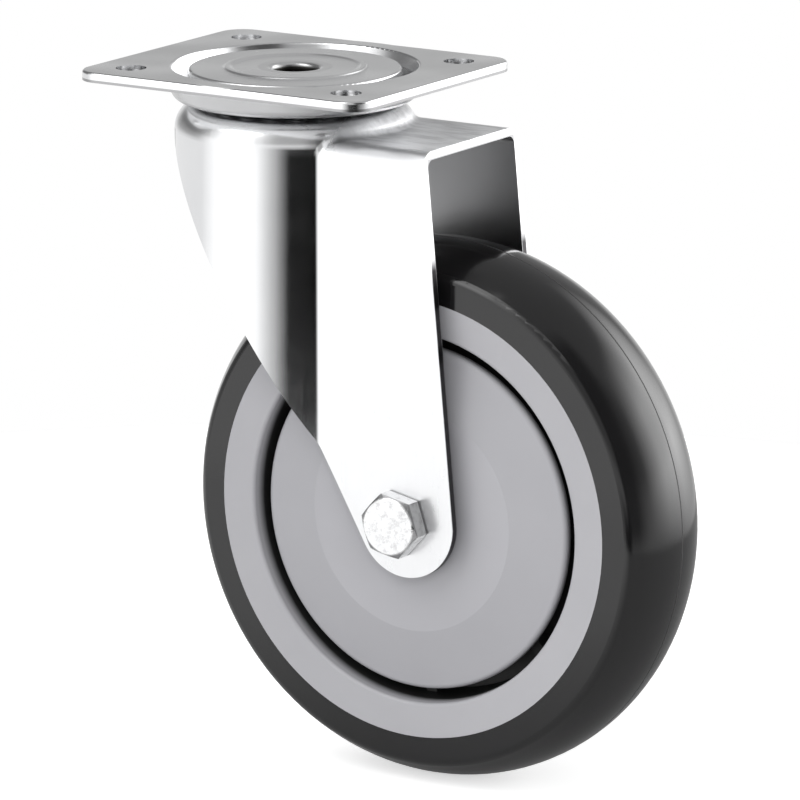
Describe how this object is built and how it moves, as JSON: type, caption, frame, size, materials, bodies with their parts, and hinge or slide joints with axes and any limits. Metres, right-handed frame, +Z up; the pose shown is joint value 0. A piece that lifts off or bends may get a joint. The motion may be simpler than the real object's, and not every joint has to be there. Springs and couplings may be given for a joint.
{
  "type": "swivel castor",
  "caption": "Plate-mounted swivel castor: a rubber-tyred wheel in a pressed steel fork that turns under a bolted top plate.",
  "frame": {"origin": "centre of the plate's top, mounting face, on the swivel axis", "axes": "+Z up out of the plate's mounting face, +X the way the wheel trails at rest, +Y along the axle from the bolt's head to its nut"},
  "size_m": [0.1825, 0.085, 0.2055],
  "materials": {
    "zinc_sheet": "bright zinc-plated pressed sheet",
    "zinc_turned": "bright zinc-plated, turned or forged",
    "plain_steel": "plain drawn tube",
    "bearing_steel": "ground and polished",
    "nylon": "natural nylon",
    "grey_moulding": "light grey moulded polypropylene",
    "grey_guard": "mid grey moulded polypropylene",
    "tyre_rubber": "dark grey smooth rubber"
  },
  "bodies": {
    "plate": {"top_plate": "zinc_sheet", "kingpin": "zinc_turned", "lower_race": "zinc_sheet", "upper_balls": "bearing_steel", "lower_balls": "bearing_steel"},
    "fork": {"fork": "zinc_sheet", "axle_bolt": "zinc_turned", "axle_nut": "zinc_turned", "nut_insert": "nylon", "axle_tube": "plain_steel", "near_spacer": "plain_steel", "far_spacer": "plain_steel", "inner_spacer": "plain_steel", "near_bearing_inner_ring": "bearing_steel", "far_bearing_inner_ring": "bearing_steel"},
    "wheel": {"wheel_centre": "grey_moulding", "tyre": "tyre_rubber", "near_thread_guard": "grey_guard", "far_thread_guard": "grey_guard", "near_bearing_outer_ring": "bearing_steel", "near_bearing_balls": "bearing_steel", "near_bearing_cage": "nylon", "near_bearing_shields": "bearing_steel", "far_bearing_outer_ring": "bearing_steel", "far_bearing_balls": "bearing_steel", "far_bearing_cage": "nylon", "far_bearing_shields": "bearing_steel"}
  },
  "joints": [
    {"name": "swivel", "type": "hinge", "parent": "plate", "child": "fork", "pos_m": [0, 0, 0], "axis": [0, 0, 1], "continuous": true},
    {"name": "wheel_spin", "type": "hinge", "parent": "fork", "child": "wheel", "pos_m": [0.0525, 0, -0.1255], "axis": [0, 1, 0], "continuous": true}
  ]
}
